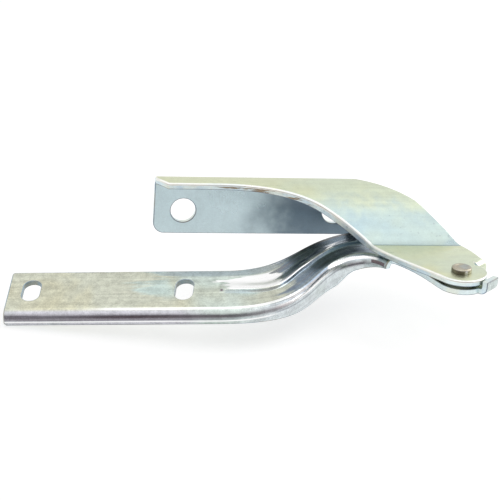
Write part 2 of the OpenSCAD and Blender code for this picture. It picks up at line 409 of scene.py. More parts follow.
# Corners of the bracket, and its drawn edges: each is a start, two handles and an end.
flange_left_x = -hood_pitch / 2 - hood_end_left
flange_right_x = hood_pitch / 2 + hood_end_right
fold_end_x = hood_pitch / 2 + fold_past_hole
lip_end = xy(-hood_pitch / 2 + lip_l, -lip_w)
tab_corner = xy(pivot_x - 41.3, tab_y + 2.4)
round_start = radians(215.0)
round_stop = radians(388.0)
relief = 1.2
lug_way = polar(1.0, lug_angle)
lug_foot = pivot + polar(lug_near, lug_angle + lug_turn)
lug_far = lug_foot + lug_w * lug_way
back_corner = xy(pivot_x - 13.0, -pivot_drop + 60.3)
front_sweep = [lip_end, lip_end + xy(34.5, 0), tab_corner + xy(-22, 22), tab_corner]
round_tangent = pivot + polar(bracket_end_r, round_start)
front_tab = [
    tab_corner,
    tab_corner + xy(3.4, -13),
    round_tangent - polar(14.0, round_start + pi / 2),
    round_tangent,
]
sweep_start = xy(fold_end_x, -1.2)
back_sweep = [
    sweep_start,
    xy(fold_end_x + 14, -9),
    back_corner - xy(10, -8),
    back_corner,
]
back_low = [back_corner, back_corner + xy(14, -15), lug_far + xy(-4.5, 20), lug_far]
plain_start = radians(300.0)
plain_turn = radians(60.0)


def crossing(curve, y):
    """Where along a curve that runs down in Y it meets y."""
    low, high = 0.0, 1.0
    for _ in range(40):
        s = (low + high) / 2
        if bezier(curve, s).y > y:
            low = s
        else:
            high = s
    return (low + high) / 2


def even(path, n):
    """n + 1 points at even distances along a path of many points."""
    lengths = [0.0]
    for a, b in zip(path, path[1:]):
        lengths.append(lengths[-1] + (b - a).length)
    found, i = [], 0
    for k in range(n + 1):
        want = lengths[-1] * k / n
        while i < len(path) - 2 and lengths[i + 1] < want:
            i += 1
        share = (want - lengths[i]) / (lengths[i + 1] - lengths[i])
        found.append(mix(path[i], path[i + 1], min(1.0, share)))
    return found


def traced(curve, start=0.0, stop=1.0, n=60):
    return [bezier(curve, s) for s in spread(start, stop, n)]


def ring_points(sheet, centre, radius, side, upright, roll, steps=48):
    """The points of a round hole, anticlockwise."""
    ring = []
    for i in range(steps):
        a = tau * i / steps
        at = centre + radius * (cos(a) * side + sin(a) * upright)
        ring.append(sheet.point(at, side.cross(upright), roll))
    return ring


def bored_plate(sheet, outline, z, radius):
    """A level plate with a bore about the pivot."""
    centre = pivot + z * up
    bore = ring_points(sheet, centre, radius, xy(1, 0), xy(0, 1), bore_roll)
    sheet.plate(outline, [(centre, bore)], lambda p: (p[0], p[1]))


# How many steps the bracket's plate has along its fold, past the fold's end, down to the tab and across.
fold_rows = 44
past_fold_rows = 4
sweep_rows = 46
chamfer_rows = 3
lip_rows = 9
plate_columns = 46
front_gap = 2.2
back_gap = 1.0
flange_steps = 8


def on_plate(sheet, p, roll, upright=False):
    """The plate's point over p. Its cut is square to the sheet, or upright."""
    lean = plate_lean(p.y)
    place = Vector((p.x, p.y, plate_height(p.y)))
    through = -sheet_t / cos(lean) * up if upright else None
    return sheet.point(place, (0, -sin(lean), cos(lean)), roll, (p.x, p.y), through)


def front_edge():
    """The chamfer, the lip, the sweep down the joggle and the start of the tab."""
    chamfer_low = xy(flange_left_x, -lip_w + lip_chamfer)
    chamfer_end = xy(flange_left_x + lip_chamfer, -lip_w)
    lip = spread(chamfer_low, chamfer_end, chamfer_rows) + spread(chamfer_end, lip_end, lip_rows)[1:]
    sweep = traced(front_sweep) + traced(front_tab, 0.0, crossing(front_tab, tab_y), 20)[1:]
    return lip + even(sweep, fold_rows + sweep_rows - chamfer_rows - lip_rows)[1:]


def back_edges():
    """The fold line, on past the fold's end to the sweep, and the whole back edge down to the tab."""
    meet = crossing(back_sweep, lip_y)
    stops = spread(flange_left_x, fold_end_x, fold_rows)
    stops += spread(fold_end_x, bezier(back_sweep, meet).x, past_fold_rows)[1:]
    fold_line = [xy(x, lip_y) for x in stops]
    sweep = traced(back_sweep, meet) + traced(back_low, 0.0, crossing(back_low, tab_y), 40)[1:]
    return fold_line, fold_line + even(sweep, sweep_rows - past_fold_rows)[1:]


def bracket_plate(sheet):
    """The lip and the joggle. Returns the fold line and the plate's last row, where the tab begins."""
    fold_line, back = back_edges()
    rows = []
    for j, (f, b) in enumerate(zip(front_edge(), back)):
        length = (b - f).length
        if j > fold_rows + past_fold_rows:
            stops = spread(front_gap, length - back_gap, plate_columns - 1) + [length]
        else:
            stops = spread(front_gap, length, plate_columns)
        row = [on_plate(sheet, f, plate_roll, True)]
        rows.append(row + [on_plate(sheet, mix(f, b, d / length), back_roll) for d in stops])
    sheet.patch(rows[::-1])
    return fold_line, rows[-1]


def on_fold(sheet, x, turn):
    place = (x, lip_y + bend_r * sin(turn), hood_top - bend_r * (1 - cos(turn)))
    return sheet.point(place, (0, sin(turn), cos(turn)), back_roll, (x, bend_r * turn))


def bracket_fold(sheet, fold_line):
    """The fold to the hood flange, and the little patch past its end."""
    end_turn = asin((sweep_start.y - lip_y) / bend_r)
    turns = spread(0.0, end_turn, 5) + spread(end_turn, pi / 2, 4)[1:]
    strip = [[on_fold(sheet, p.x, turn) for turn in turns] for p in fold_line[: fold_rows + 1]]
    sheet.patch(strip[::-1])
    patch = []
    for turn in turns[:5]:
        end_x = bezier(back_sweep, crossing(back_sweep, lip_y + bend_r * sin(turn))).x
        patch.append([on_fold(sheet, x, turn) for x in spread(fold_end_x, end_x, past_fold_rows)])
    patch.append([on_fold(sheet, fold_end_x, end_turn)] * (past_fold_rows + 1))
    sheet.patch(patch)


def hood_flange(sheet, fold_line):
    """The flange below the fold with its two bolt holes. In its outline Y stands for height."""
    top, low, r = hood_top - bend_r, -hood_low, hood_corner_r
    ear = flange_right_x - fold_end_x
    outline = [xy(p.x, top) for p in reversed(fold_line[: fold_rows + 1])]
    outline += [xy(flange_left_x, z) for z in (top - 3.0, low + r)]
    outline += arc(xy(flange_left_x + r, low + r), r, pi, 1.5 * pi, flange_steps)[1:]
    outline += [xy(x, low) for x in (-hood_pitch / 2, 0.0, hood_pitch / 2)]
    outline += arc(xy(flange_right_x - r, low + r), r, 1.5 * pi, tau, flange_steps)
    outline += arc(xy(fold_end_x, top - ear), ear, 0.0, pi / 2, 10)[:-1]
    behind, leftward = xy(0, 1), xy(-1, 0)
    foot = bend_r * pi / 2 + top
    ids = [sheet.point((p.x, 0.0, p.y), behind, back_roll, (p.x, foot - p.y)) for p in outline]
    holes = []
    for x in (-hood_pitch / 2, hood_pitch / 2):
        centre = xy(x, 0)
        holes.append((centre, ring_points(sheet, centre, hood_hole_d / 2, leftward, up, back_roll, 56)))
    sheet.plate(ids[::-1], holes, lambda p: (-p[0], p[2]))


def bracket_tab(sheet, last_row):
    """The tab with its round end, whose rolled edge grows plain towards the back."""
    outline = last_row[::-1]
    front = even(traced(front_tab, crossing(front_tab, tab_y)), 16)
    outline += [on_plate(sheet, p, plate_roll) for p in front[1:]]
    for a in spread(round_start, round_stop, 40)[1:]:
        share = ease((a - plain_start) / plain_turn)
        outline.append(on_plate(sheet, pivot + polar(bracket_end_r, a), mix(plate_roll, back_roll, share)))
    notch = pivot + polar(bracket_end_r - relief, lug_angle - lug_turn)
    outline.append(on_plate(sheet, notch, notch_roll))
    back = even(traced(back_low, crossing(back_low, tab_y)), 14)
    outline += [on_plate(sheet, p, back_roll) for p in [lug_foot, lug_far] + back[-2:0:-1]]
    bored_plate(sheet, outline, tab_z, shank_d / 2 + shank_gap)


def folded_stop(sheet, roots, out, way, r, height, roll, steps):
    """A stop folded square to its plate at two root points: way is 1 up or -1 down."""
    rows = []
    for a in spread(0.0, pi / 2, steps):
        at = r * (sin(a) * out + way * (1 - cos(a)) * up)
        normal = -way * sin(a) * out + cos(a) * up
        rows.append([sheet.point(p + at, normal, roll) for p in roots])
    at = r * out + way * height * up
    rows.append([sheet.point(p + at, -way * out, roll) for p in roots])
    sheet.patch(rows)


def bracket_piece(*finishes):
    sheet = Sheet()
    fold_line, last_row = bracket_plate(sheet)
    bracket_fold(sheet, fold_line)
    hood_flange(sheet, fold_line)
    bracket_tab(sheet, last_row)
    out = polar(1.0, lug_angle - pi / 2)
    folded_stop(sheet, (lug_far, lug_foot), out, -1, stop_bend_r + sheet_t, lug_h, back_roll, 8)
    return sheet.made("bracket_stamping", *finishes)


# Arm: the frame of its straight part, then the two edges of the neck's web.
along = Vector((
    cos(arm_rise) * cos(arm_yaw),
    -cos(arm_rise) * sin(arm_yaw),
    sin(arm_rise),
))
level = xy(sin(arm_yaw), cos(arm_yaw))
across = cos(arm_tilt) * level + sin(arm_tilt) * along.cross(level)
arm_up = along.cross(across)
neck_foot = pivot + Vector((-125, -3.5, eye_z - 14.1))
neck_back = neck_foot + arm_w * across
arm_end = neck_foot - arm_straight * along
front_top = pivot + Vector((-45.5, 43.5, eye_z - 3.4))
front_end = pivot + Vector((-30.7, 27.5, eye_z))
back_top = pivot + Vector((-37, 71, eye_z - 1.6))
back_end = pivot + Vector((-12, 40, eye_z))
front_rise = [neck_foot, neck_foot + 53 * along, front_top + Vector((-27, 0, -4.6)), front_top]
back_rise = [neck_back, neck_back + 38 * along, back_top + Vector((-38, 0, -4)), back_top]
front_fall = [front_top, front_top + Vector((6.5, 0, 1.1)), front_end + xy(-3.8, 7), front_end]
back_fall = [back_top, back_top + Vector((13, 0, 1.3)), back_end + xy(-9, 15), back_end]
rise_share = 22 / 30
deepest_share = 0.62
shallow_share = 0.8
least_flange = 0.4
rib_foot = 0.7
rib_full = 3 / 30
rib_fade_start = 23 / 30
rib_fade = 5 / 30
rib_crest = 0.46
rib_sag = 0.125
rib_sag_end = 0.36
neck_length = 150.0
flat_end = xy(front_end.x, front_end.y)
flat_back = xy(back_end.x, back_end.y)
eye_start = radians(205.0)
eye_stop = radians(394.0)
eye_tangent = pivot + polar(eye_r, eye_start)
eye_front = [
    flat_end + xy(2, 0.3),
    flat_end + xy(13.3, -13),
    eye_tangent - polar(9.0, eye_start + pi / 2),
    eye_tangent,
]
eye_grain_y = 57.0


class Section:
    """One section of the arm at station s: below 0 on the straight part, 0 to 1 along the neck."""

    def __init__(self, s):
        self.s = s
        if s <= 0:
            self.front = neck_foot + s * arm_straight * along
            self.side, self.up, self.width = across, arm_up, arm_w
        else:
            rising = s <= rise_share
            u = s / rise_share if rising else (s - rise_share) / (1 - rise_share)
            front_curve = front_rise if rising else front_fall
            self.front = bezier(front_curve, u)
            back = bezier(back_rise if rising else back_fall, u)
            self.side = (back - self.front).normalized()
            self.up = bezier_way(front_curve, u).cross(self.side).normalized()
            self.width = (back - self.front).length
        past = max(0.0, (s - rise_share) / (1 - rise_share))
        rise = max(0.0, s / rise_share)
        self.bend = mix(bend_r, end_bend_r, ease(past))
        if past > 0:
            self.depth = mix(crest_flange, end_flange, past)
        elif rise > shallow_share:
            self.depth = mix(neck_flange, crest_flange, ease((rise - shallow_share) / (1 - shallow_share)))
        else:
            self.depth = mix(arm_flange, neck_flange, ease(rise / deepest_share))
        run_in = ease(1 + s * arm_straight / rib_run_in) if s <= 0 else 1.0
        fade = 1 - ease((s - rib_fade_start) / rib_fade)
        self.rib = rib_h * mix(rib_foot, 1.0, ease(s / rib_full)) * run_in * fade
        sag = sin(pi * min(1.0, max(0.0, s / rib_sag_end))) ** 2
        self.crest = (rib_crest - rib_sag * sag) * self.width

    def place(self, q):
        return self.front + q[0] * self.side + q[1] * self.up

    def web(self):
        """From the back edge to the bend, over the rib's long back flank and its steep front one."""
        w, crest = self.width, self.crest
        points = [(y, 0.0) for y in spread(w, crest + rib_back, 4)]
        points += [(crest + rib_back * (1 - k / 9), self.rib * ease(k / 9)) for k in range(1, 10)]
        points += [(crest - rib_front * k / 6, self.rib * (1 - ease(k / 6))) for k in range(1, 7)]
        return points + [(y, 0.0) for y in spread(crest - rib_front, soft_bend, 5)[1:]]

    def grain(self, q):
        """Distance in from the bend, stretched so that the rib's crest and the back edge keep theirs."""
        crest, width = rib_crest * arm_w, self.width
        if q[0] <= 0:
            return q[0] + q[1]
        if q[0] < self.crest:
            return q[0] * crest / self.crest
        return crest + (q[0] - self.crest) * (arm_w - crest) / (width - self.crest)

    def flange(self, cut=0.0):
        """Round the bend and down the flange, which may be cut short at the arm's end."""
        r, low = self.bend + soft_bend, cut - self.depth
        drop = min(r, -low - least_flange)
        turns = spread(0.0, pi / 2, 10)
        points = [(soft_bend - r * sin(a), drop * (cos(a) - 1)) for a in turns]
        return points + [(soft_bend - r, mix(-drop, low, k / 2)) for k in (1, 2)]


def grid_normals(grid):
    """The normal at each point of a grid, from its neighbours along and across."""
    rows, columns = len(grid), len(grid[0])
    found = []
    for i in range(rows):
        row = []
        for k in range(columns):
            down = grid[min(i + 1, rows - 1)][k] - grid[max(i - 1, 0)][k]
            over = grid[i][min(k + 1, columns - 1)] - grid[i][max(k - 1, 0)]
            row.append(over.cross(down).normalized())
        found.append(row)
    return found


def straight_normal(q):
    """The normal of the straight part's section at q, from the web round the bend."""
    turn = asin(min(1.0, max(0.0, (soft_bend - q[0]) / (bend_r + soft_bend))))
    return -sin(turn) * across + cos(turn) * arm_up


def arm_neck(sheet):
    """The neck, from just before the rib to the eye. Returns its rows and how much of each is web."""
    stations = spread(-rib_run_in / arm_straight, 0.0, 5)[:-1]
    stations += spread(0.0, rise_share, 96) + spread(rise_share, 1.0, 30)[1:]
    sections = [Section(s) for s in stations]
    web = len(sections[-1].web())
    loops = [section.web() + section.flange()[1:] for section in sections]
    grid = [[section.place(q) for q in loop] for section, loop in zip(sections, loops)]
    shades = grid_normals(grid)
    shades[0] = [straight_normal(q) for q in loops[0]]
    shades[-1][: web - 1] = [up] * (web - 1)
    rows = []
    for section, loop, places, normals in zip(sections, loops, grid, shades):
        travel = section.s * (neck_length if section.s > 0 else arm_straight)
        row = []
        for q, place, normal in zip(loop, places, normals):
            row.append(sheet.point(place, normal, arm_roll, (travel, section.grain(q))))
        rows.append(row)
    sheet.patch(rows)
    return rows, web


def arm_bend(sheet, neck_bend):
    """The straight part's bend and flange, in long strips. Returns their points along the web."""
    strip = []
    for x, cut in ((0.0, end_cut), (end_cut, 0.0), (slot_end, 0.0), (slot_end + slot_pitch, 0.0)):
        section = Section((x - arm_straight) / arm_straight)
        row = []
        for q in section.flange(cut):
            grain = (x - arm_straight, q[0] + q[1])
            row.append(sheet.point(section.place(q), straight_normal(q), arm_roll, grain))
        strip.append(row)
    sheet.patch(strip + [neck_bend])
    return [row[0] for row in strip]


def on_web(sheet, x, y, roll=arm_roll):
    return sheet.point(arm_end + x * along + y * across, arm_up, roll, (x - arm_straight, y))


def slot_ring(sheet, x):
    """The points of a slot across the arm, anticlockwise."""
    r, straight = slot_w / 2, (slot_l - slot_w) / 2
    ring = []
    for start, y in ((0.0, slot_mid + straight), (pi, slot_mid - straight)):
        for p in arc(xy(x, y), r, start, start + pi, 20):
            ring.append(on_web(sheet, p.x, p.y, slot_roll))
    return ring


def arm_web(sheet, foot, neck_web):
    """The straight part's web as one flat plate with two slots."""
    slots = (slot_end, slot_end + slot_pitch)
    outline = foot + neck_web[::-1]
    outline += [on_web(sheet, x, arm_w) for x in (*slots[::-1], 3.0)]
    r = end_corner_r
    corner = arc(xy(r, arm_w - r), r, pi / 2, pi, 4)
    outline += [on_web(sheet, p.x, p.y) for p in corner] + [on_web(sheet, 0.0, arm_w / 2)]
    holes = [(arm_end + x * along + slot_mid * across, slot_ring(sheet, x)) for x in slots]
    sheet.plate(outline, holes, lambda p: ((p - arm_end).dot(along), (p - arm_end).dot(across)))


def on_eye(sheet, p):
    travel = neck_length + (p - flat_end).length
    return sheet.point(p + eye_z * up, up, eye_roll, (travel, p.y + eye_grain_y))


def arm_eye(sheet, neck_end):
    """The flat eye, with the stop folded up at its rim."""
    out, way = polar(1.0, stop_angle), polar(1.0, stop_angle + pi / 2)
    sides = (stop_side - stop_l, stop_side)
    meets = [tau + stop_angle + asin(y / eye_r) for y in sides]
    roots = [pivot + (stop_reach - stop_bend_r) * out + y * way for y in sides]
    outline = even(traced(eye_front), 18)
    outline += arc(pivot, eye_r, eye_start, meets[0], 24)[1:]
    outline += roots
    outline += arc(pivot, eye_r, meets[1], eye_stop, 10)
    outline += spread(outline[-1], flat_back, 5)[1:-1]
    bored_plate(sheet, [on_eye(sheet, p) for p in outline] + neck_end, eye_z, shank_d / 2)
    roots = [p + eye_z * up for p in roots[::-1]]
    folded_stop(sheet, roots, out, 1, stop_bend_r, stop_h, eye_roll, 6)


def arm_piece(*finishes):
    sheet = Sheet()
    rows, web = arm_neck(sheet)
    foot = arm_bend(sheet, rows[0][web - 1:])
    arm_web(sheet, foot, rows[0][:web])
    arm_eye(sheet, rows[-1][:web])
    return sheet.made("arm_stamping", *finishes)


def rounded(profile, radius, steps=4):
    """A profile with each inner corner turned into a small arc."""
    found = [profile[0]]
    for a, b, c in zip(profile, profile[1:], profile[2:]):
        a, b, c = Vector(a), Vector(b), Vector(c)
        reach = min(radius, (a - b).length / 2.2, (c - b).length / 2.2)
        start = b + (a - b).normalized() * reach
        stop = b + (c - b).normalized() * reach
        for i in range(steps + 1):
            s = i / steps
            found.append(tuple((1 - s) ** 2 * start + 2 * s * (1 - s) * b + s**2 * stop))
    found.append(profile[-1])
    return found


def turned(name, profile, centre, finish, steps=72):
    """A turned piece from its profile of (radius, height), which starts and ends on the axis."""
    ring_profile = profile[1:-1]
    places = [Vector((0, 0, profile[0][1])), Vector((0, 0, profile[-1][1]))]
    for r, z in ring_profile:
        places += [polar(r, tau * i / steps) + Vector((0, 0, z)) for i in range(steps)]

    def at(row, i):
        return 2 + row * steps + i % steps

    faces = []
    for i in range(steps):
        faces.append([0, at(0, i + 1), at(0, i)])
        faces.append([1, at(len(ring_profile) - 1, i), at(len(ring_profile) - 1, i + 1)])
        for row in range(len(ring_profile) - 1):
            faces.append([at(row, i), at(row, i + 1), at(row + 1, i + 1), at(row + 1, i)])
    mesh = smooth_mesh(name, [p + centre for p in places], faces)
    mesh.materials.append(finish)
    mesh.set_sharp_from_angle(angle=radians(32))
    return linked(name, mesh)


def rivet_piece(finish):
    head_z = tab_z + axial_gap
    tail_z = eye_z - sheet_t
    top = head_z + head_h
    dish = 0.3
    r = head_d / 2
    head = [(r, head_z), (r, top - 0.5), (r - 0.7, top), (r - 1.5, top), (r - 2.3, top - dish)]
    head += [(0.9, top - dish), (0.0, top - dish + 0.1)]
    low, r = tail_z - tail_h, tail_d / 2
    tail = [(0.0, low), (r - 2.4, low), (r - 0.6, tail_z - tail_h * 0.62)]
    tail += [(r, tail_z - 0.6), (r, tail_z), (shank_d / 2, tail_z)]
    profile = rounded(tail, 0.5) + [(shank_d / 2, head_z)] + rounded(head, 0.45)
    return turned("pivot_rivet", profile, pivot, finish)


def socket(group, name, kind, value=None, output=False):
    way = "OUTPUT" if output else "INPUT"
    item = group.interface.new_socket(name, in_out=way, socket_type="NodeSocket" + kind)
    if value is not None:
        item.default_value = value
    return item


class Nodes:
    """Short ways to add and join shader nodes in one tree."""

    def __init__(self, tree):
        self.tree = tree
        self.column = 0

    def add(self, kind, given=None, **values):
        """A node with these values. given names its inputs, each with a value or another node's output."""
        node = self.tree.nodes.new(kind)
        self.column += 1
        node.location = (self.column % 8 * 190, -(self.column // 8) * 260)
        for name, value in values.items():
            setattr(node, name, value)
        for name, value in (given or {}).items():
            self.feed(value, node.inputs[name])
        return node

    def feed(self, value, target):
        if isinstance(value, bpy.types.NodeSocket):
            self.tree.links.new(value, target)
        else:
            target.default_value = value

    def math(self, operation, a, b=0.0, clamp=False):
        return self.add("ShaderNodeMath", {0: a, 1: b}, operation=operation, use_clamp=clamp).outputs[0]

    def times(self, a, b):
        return self.math("MULTIPLY", a, b)

    def noise(self, vector, scale, detail=3.0, roughness=0.55, distortion=0.0):
        given = {"Vector": vector, "Scale": scale, "Detail": detail}
        given |= {"Roughness": roughness, "Distortion": distortion}
        return self.add("ShaderNodeTexNoise", given).outputs["Fac"]

    def parts(self, vector):
        return self.add("ShaderNodeSeparateXYZ", {0: vector}).outputs

    def band(self, value, low, high, soft):
        """1 between low and high, falling to 0 over soft on each side."""
        rising = self.ramp(value, low - soft, low)
        return self.times(rising, self.ramp(value, high, high + soft, 1.0, 0.0))

    def strongest(self, *masks):
        found = masks[0]
        for mask in masks[1:]:
            found = self.math("MAXIMUM", found, mask)
        return found

    def ramp(self, value, low, high, to_low=0.0, to_high=1.0):
        given = {"Value": value, "From Min": low, "From Max": high, "To Min": to_low, "To Max": to_high}
        return self.add("ShaderNodeMapRange", given, interpolation_type="SMOOTHSTEP").outputs["Result"]

    def blend(self, factor, a, b, kind="MIX"):
        given = {0: factor, 6: a, 7: b}
        return self.add("ShaderNodeMix", given, data_type="RGBA", blend_type=kind).outputs[2]

    def stretched(self, vector, scale):
        return self.add("ShaderNodeMapping", {"Vector": vector, "Scale": scale}).outputs["Vector"]


def fresh_nodes(owner):
    """An empty node tree for a material or a world."""
    owner.use_nodes = True
    owner.node_tree.nodes.clear()
    return Nodes(owner.node_tree)


plate_inputs = (
    ("Place", "Vector", None),
    ("Grain", "Vector", None),
    # The next two inputs carry painted shade with a few real marks, and painted highlights.
    ("Worked", "Float", 0.0),
    ("Burnished", "Float", 0.0),
    ("Pale", "Color", (0.8, 0.8, 0.8, 1)),
    ("Warm tint", "Color", (0.8, 0.8, 0.6, 1)),
    ("Cool tint", "Color", (0.6, 0.7, 0.8, 1)),
    # The dark tone that painted shade and marks take.
    ("Drawn", "Color", (0.3, 0.35, 0.4, 1)),
    ("Cloud scale", "Float", 28.0),
    ("Contrast", "Float", 0.05),
)
plate_outputs = (("Colour", "Color"), ("Roughness", "Float"), ("Height", "Float"))
drift_shift = (0.31, 0.17, 0.53)
streak_scale = (14.0, 420.0, 1.0)
bump_depth = 0.0002


def plating_group():
    """Zinc plate: clouds of two tints on a pale ground, rolling streaks and specks.

    Areas given painted shade or marks take the dark tone, and painted highlights are white.
    """
    group = bpy.data.node_groups.new("zinc_plate", "ShaderNodeTree")
    for name, kind, value in plate_inputs:
        socket(group, name, kind, value)
    for name, kind in plate_outputs:
        socket(group, name, kind, output=True)
    n = Nodes(group)
    given = n.add("NodeGroupInput").outputs
    clouds = n.noise(given["Place"], given["Cloud scale"], 3.0, 0.5, 0.6)
    shifted = n.add("ShaderNodeVectorMath", {0: given["Place"], 1: drift_shift}, operation="ADD")
    drift = n.noise(shifted.outputs[0], n.times(given["Cloud scale"], 0.7), 2.0, 0.5, 0.4)
    tinted = n.blend(n.ramp(clouds, 0.42, 0.66), given["Pale"], given["Warm tint"])
    tinted = n.blend(n.ramp(drift, 0.44, 0.68), tinted, given["Cool tint"])
    streaks = n.noise(n.stretched(given["Grain"], streak_scale), 1.0, 4.0, 0.6, 0.2)
    blotches = n.noise(given["Place"], 240.0, 3.0, 0.6, 0.3)
    grain = n.noise(given["Place"], 1500.0, 2.0, 0.6)
    # Painted shade and marks darken the colour towards their tone.
    tinted = n.blend(given["Worked"], tinted, given["Drawn"])
    rolled = n.math("ADD", n.ramp(streaks, 0.3, 0.7, -0.6, 0.5), n.ramp(blotches, 0.3, 0.7, -0.7, 0.5))
    rolled = n.math("ADD", rolled, n.ramp(grain, 0.3, 0.7, -0.6, 0.6))
    shade = n.math("ADD", 0.9, n.times(rolled, given["Contrast"]))
    grey = n.add("ShaderNodeCombineColor", {"Red": shade, "Green": shade, "Blue": shade}).outputs[0]
    colour = n.blend(1.0, tinted, grey, "MULTIPLY")
    # Painted highlights turn the colour white.
    colour = n.blend(given["Burnished"], colour, (1.0, 1.0, 1.0, 1))
    rough = n.math("ADD", n.ramp(streaks, 0.3, 0.7, 0.24, 0.34), n.ramp(clouds, 0.35, 0.7, 0.0, 0.08))
    rough = n.math("SUBTRACT", rough, n.times(given["Worked"], 0.08), clamp=True)
    height = n.math("ADD", n.times(streaks, 0.6), n.times(grain, 0.4))
    n.add("NodeGroupOutput", {"Colour": colour, "Roughness": rough, "Height": height})
    return group


def plated(name, group, tones, cloud_scale, contrast, bump, marks=None):
    """A metal finish from the plating group. marks gives painted shade, highlights and reflections, with a
    few real marks, by the group's inputs.
    """
    finish = bpy.data.materials.new(name)
    n = fresh_nodes(finish)
    place = n.add("ShaderNodeTexCoord").outputs["Object"]
    given = {"Place": place, "Grain": place, "Cloud scale": cloud_scale, "Contrast": contrast}
    given |= {name: (*tone, 1) for name, tone in zip(("Pale", "Warm tint", "Cool tint", "Drawn"), tones)}
    given |= marks(n, place) if marks else {}
    plate = n.add("ShaderNodeGroup", given, node_tree=group).outputs
    given = {"Strength": bump, "Distance": bump_depth, "Height": plate["Height"]}
    normal = n.add("ShaderNodeBump", given).outputs["Normal"]
    given = {"Metallic": 1.0, "Normal": normal}
    given |= {"Base Color": plate["Colour"], "Roughness": plate["Roughness"]}
    metal = n.add("ShaderNodeBsdfPrincipled", given)
    n.add("ShaderNodeOutputMaterial", {"Surface": metal.outputs[0]})
    return finish


def arm_painted_reflections(n, place):
    """Painted reflections: the neck dark with highlight lines, the rib's back bright and a brown band on
    the bend.

    The grain map gives u along the arm from the neck's foot and v in from the bend, both in metres.
    """
    grain = n.add("ShaderNodeUVMap", uv_map="grain").outputs["UV"]
    u, v = n.parts(grain)[:2]
    wander = n.noise(n.stretched(grain, (30.0, 190.0, 1.0)), 1.0, 3.0, 0.6)
    reach = n.math("ADD", u, n.ramp(wander, 0.3, 0.7, -0.012, 0.012))
    broad = n.noise(n.stretched(grain, (7.0, 210.0, 1.0)), 1.0, 2.0, 0.5, 0.3)
    fine = n.noise(n.stretched(grain, (9.0, 560.0, 1.0)), 1.0, 2.0, 0.5, 0.2)

    def area(along, start, stop, soft_along, low, high, soft_across, strength=1.0):
        """A patch from start to stop along the arm and from low to high in from the bend."""
        mask = n.times(n.band(along, start, stop, soft_along), n.band(v, low, high, soft_across))
        return n.times(mask, strength)

    # A painted dark reflection over the neck's web.
    neck = n.times(n.band(reach, 0.042, 0.150, 0.018), n.ramp(v, -0.008, -0.003))
    # A painted brown reflection band low on the straight part's bend.
    bend = area(u, -0.2, -0.002, 0.022, -0.0090, -0.0060, 0.0009)
    painted_dark_patches = n.strongest(
        n.times(bend, n.ramp(broad, 0.3, 0.6, 0.85, 0.5)),
        # Painted shade on the flange's tip, a spot at the rib's foot and a line along the neck's bend.
        area(u, 0.1275, 0.1465, 0.0008, -0.0080, -0.0060, 0.0005),
        area(u, -0.0005, -0.0001, 0.0011, 0.0122, 0.0126, 0.0008),
        area(u, 0.028, 0.116, 0.004, -0.0093, -0.0087, 0.0005, 0.55),
    )
    painted_shade = n.strongest(
        n.times(neck, n.ramp(broad, 0.32, 0.56, 0.72, 1.0)),
        painted_dark_patches,
        # Painted shade on the web's back edge and the rib's steep side.
        area(reach, -0.026, 0.045, 0.015, 0.0252, 0.0300, 0.0020, 0.5),
        area(u, 0.002, 0.060, 0.002, 0.0109, 0.0121, 0.0006, 0.4),
    )
    # The painted neck reflection runs from navy to brownish grey in broad streaks.
    brown = n.times(n.ramp(broad, 0.48, 0.60), neck)
    painted_neck_reflection = n.blend(brown, (0.21, 0.28, 0.37, 1), (0.26, 0.255, 0.26, 1))
    # A painted highlight on the rib's back flank.
    rib_back_patch = area(reach, 0.004, 0.030, 0.004, 0.0140, 0.0230, 0.0010)
    bright = n.strongest(
        n.times(neck, n.ramp(fine, 0.67, 0.70, 0.0, 0.5)),
        n.times(rib_back_patch, n.ramp(fine, 0.26, 0.34)),
        # Painted highlights: the rib's crest and the spot behind it, then the neck's bend, and the bend's
        # top and foot.
        area(u, 0.004, 0.088, 0.003, 0.0130, 0.0134, 0.0004, 0.85),
        area(reach, 0.066, 0.084, 0.005, 0.0142, 0.0188, 0.0012),
        area(u, 0.084, 0.132, 0.006, -0.0050, -0.0008, 0.0010),
        area(u, 0.030, 0.086, 0.008, -0.0066, -0.0048, 0.0006),
        area(u, -0.050, 0.030, 0.025, -0.0014, -0.0003, 0.0006, 0.75),
        area(u, -0.2, 0.018, 0.012, -0.0103, -0.0099, 0.0004, 0.9),
    )
    # Painted reflections: bluish on the web where the neck begins, and on the bend and flange a grey
    # turning pale blue into the neck.
    cool = n.times(n.band(reach, -0.032, 0.004, 0.012), n.ramp(v, 0.004, 0.012))
    side = n.ramp(v, -0.0005, -0.003)
    side_tone = n.blend(n.ramp(u, -0.01, 0.03), (0.60, 0.60, 0.65, 1), (0.74, 0.80, 0.82, 1))
    # The painted shade takes the neck's reflection tone, and mauve brown on the dark patches.
    return {
        "Grain": grain,
        "Worked": painted_shade,
        "Burnished": bright,
        "Drawn": n.blend(painted_dark_patches, painted_neck_reflection, (0.21, 0.165, 0.175, 1)),
        "Pale": n.blend(side, n.blend(cool, (0.65, 0.67, 0.56, 1), (0.61, 0.73, 0.69, 1)), side_tone),
        "Warm tint": n.blend(side, (0.67, 0.65, 0.48, 1), side_tone),
    }


def rivet_painted_light(n, place):
    """Painted shade on the left of the upper head's side, and one painted highlight line in front."""
    x, y, z = n.parts(place)
    middle, side_top = pivot_x * MM, (tab_z + axial_gap + head_h - 0.5) * MM
    side = n.ramp(z, side_top + 0.0002, side_top - 0.0003)
    # Painted shade on the left of the head's side.
    dark = n.times(side, n.ramp(x, middle + 0.0012, middle - 0.0008))
    # A painted highlight line in front.
    line = n.times(n.band(x, middle + 0.0010, middle + 0.0018, 0.0007), side)
    return {"Worked": n.times(dark, 0.85), "Burnished": n.times(line, 0.8)}


def edge_marks(n, place):
    """Broken brown streaks on the cut edge along the start of the bracket plate's sweep."""
    x, y, _ = n.parts(place)
    brown_streaks = n.ramp(n.noise(n.stretched(place, (90.0, 90.0, 1100.0)), 1.0, 3.0, 0.6), 0.50, 0.56)
    where = n.times(n.band(x, -0.020, 0.018, 0.010), n.ramp(y, -0.006, -0.010))
    return {"Worked": n.times(brown_streaks, where)}


